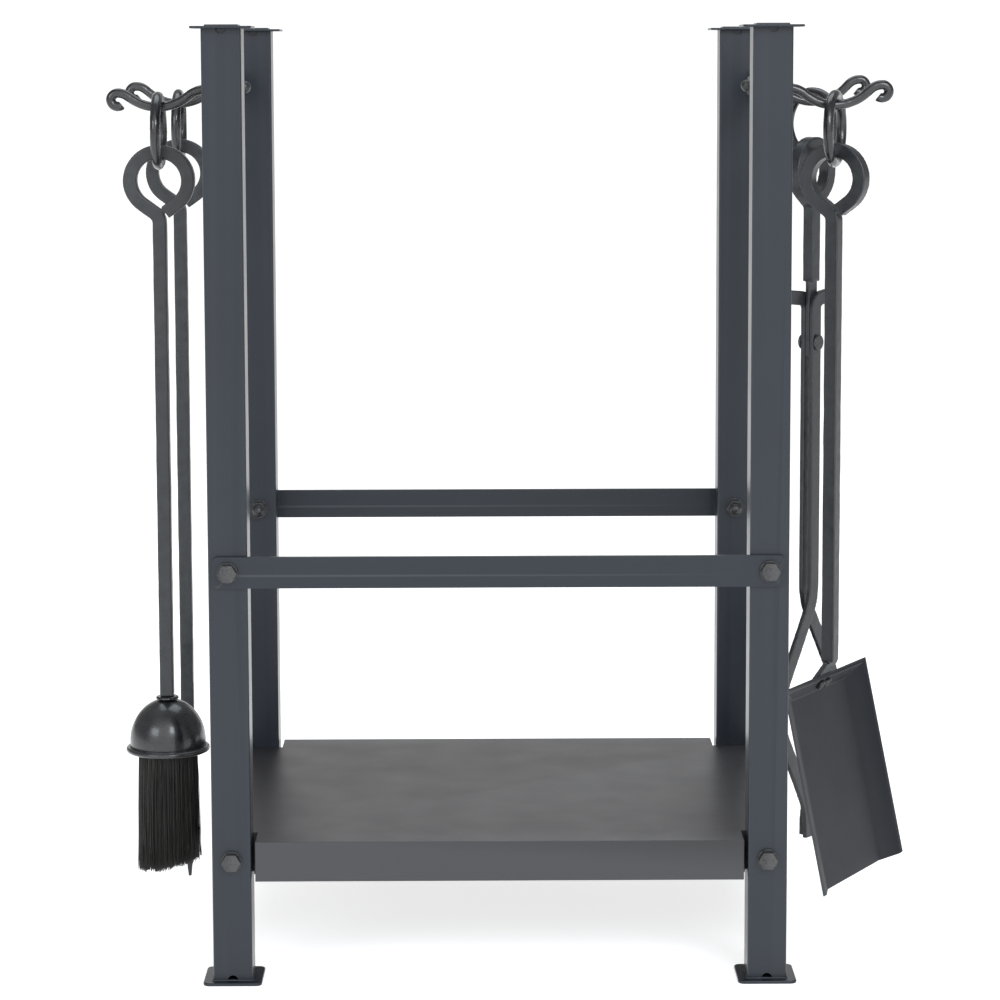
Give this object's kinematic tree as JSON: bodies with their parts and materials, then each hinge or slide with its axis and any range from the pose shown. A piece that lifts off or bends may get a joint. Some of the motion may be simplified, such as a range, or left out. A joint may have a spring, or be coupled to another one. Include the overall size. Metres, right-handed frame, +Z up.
{
  "type": "fireplace tool set",
  "caption": "Square-tube log stand with a folded shelf and hooks that hold a hearth brush, poker, shovel and tongs by forged eyes.",
  "frame": {"origin": "on the floor below the middle of the whole set's width and depth, 12 mm to the right of the stand's own centre", "axes": "+Z up, the front with the bolted rail faces -Y, the brush and poker hang on the -X side"},
  "size_m": [0.6355, 0.3708, 0.7312],
  "materials": {
    "powder_coat": "satin black powder coat",
    "forged": "hammered black, satin",
    "gloss_black": "gloss black",
    "fastener": "black oxide",
    "bristles": "coarse black bristle",
    "wood_block": "dark stained block"
  },
  "bodies": {
    "stand": {"brush_hook": "gloss_black", "front_left_cap": "powder_coat", "front_left_foot_plate": "powder_coat", "front_left_post": "powder_coat", "front_rail": "powder_coat", "front_right_cap": "powder_coat", "front_right_foot_plate": "powder_coat", "front_right_post": "powder_coat", "hook_dome_nuts": "fastener", "hook_washers": "fastener", "left_side_rail": "powder_coat", "poker_hook": "gloss_black", "rail_bolts": "fastener", "rail_dome_nuts": "fastener", "rail_inner_washers": "fastener", "rail_outer_washers": "fastener", "rear_left_cap": "powder_coat", "rear_left_foot_plate": "powder_coat", "rear_left_post": "powder_coat", "rear_rail": "powder_coat", "rear_right_cap": "powder_coat", "rear_right_foot_plate": "powder_coat", "rear_right_post": "powder_coat", "right_side_rail": "powder_coat", "shelf_bolts": "fastener", "shelf_dome_nuts": "fastener", "shelf_inner_washers": "fastener", "shelf_outer_washers": "fastener", "shelf_tray": "powder_coat", "shovel_hook": "gloss_black", "tongs_hook": "gloss_black"},
    "brush_ring": {"brush_ring": "gloss_black"},
    "poker_ring": {"poker_ring": "gloss_black"},
    "shovel_ring": {"shovel_ring": "gloss_black"},
    "tongs_ring": {"tongs_ring": "gloss_black"},
    "brush": {"brush_block": "wood_block", "brush_bristles": "bristles", "brush_collar": "gloss_black", "brush_cup": "gloss_black", "brush_shank": "forged"},
    "poker": {"poker_shank": "forged", "poker_spur": "forged"},
    "shovel": {"shovel_pan": "powder_coat", "shovel_rivets": "fastener", "shovel_shank": "forged"},
    "tongs": {"tongs_pin": "fastener", "tongs_shank": "forged"},
    "tongs_rear_arm": {"tongs_rear_arm": "forged"},
    "tongs_front_arm": {"tongs_front_arm": "forged"}
  },
  "joints": [
    {"name": "brush_lift_off", "type": "slide", "parent": "stand", "child": "brush_ring", "axis": [-0.866, 0, 0.5], "range_m": [0, 0.09]},
    {"name": "brush_swing", "type": "hinge", "parent": "brush_ring", "child": "brush", "pos_m": [-0.27414, -0.08, 0.62411], "axis": [0, 1, 0], "range_deg": [-1, 20]},
    {"name": "poker_lift_off", "type": "slide", "parent": "stand", "child": "poker_ring", "axis": [-0.866, 0, 0.5], "range_m": [0, 0.09]},
    {"name": "poker_swing", "type": "hinge", "parent": "poker_ring", "child": "poker", "pos_m": [-0.27414, 0.08, 0.62411], "axis": [0, 1, 0], "range_deg": [-3, 20]},
    {"name": "shovel_lift_off", "type": "slide", "parent": "stand", "child": "shovel_ring", "axis": [0.866, 0, 0.5], "range_m": [0, 0.09]},
    {"name": "shovel_swing", "type": "hinge", "parent": "shovel_ring", "child": "shovel", "pos_m": [0.25014, -0.08, 0.62411], "axis": [-0.515, -0.8572, 0], "range_deg": [-0.2, 8]},
    {"name": "tongs_lift_off", "type": "slide", "parent": "stand", "child": "tongs_ring", "axis": [0.866, 0, 0.5], "range_m": [0, 0.09]},
    {"name": "tongs_swing", "type": "hinge", "parent": "tongs_ring", "child": "tongs", "pos_m": [0.25014, 0.08, 0.62411], "axis": [0.766, -0.6428, 0], "range_deg": [-1, 15]},
    {"name": "tongs_rear_arm_pivot", "type": "hinge", "parent": "tongs", "child": "tongs_rear_arm", "pos_m": [0.25014, 0.08, 0.469], "axis": [0.766, -0.6428, 0], "range_deg": [-2, 6]},
    {"name": "tongs_front_arm_pivot", "type": "hinge", "parent": "tongs", "child": "tongs_front_arm", "pos_m": [0.25014, 0.08, 0.469], "axis": [0.766, -0.6428, 0], "range_deg": [-6, 2]}
  ],
  "couplings": [
    {"joint": "tongs_front_arm_pivot", "follows": "tongs_rear_arm_pivot", "ratio": -1}
  ]
}
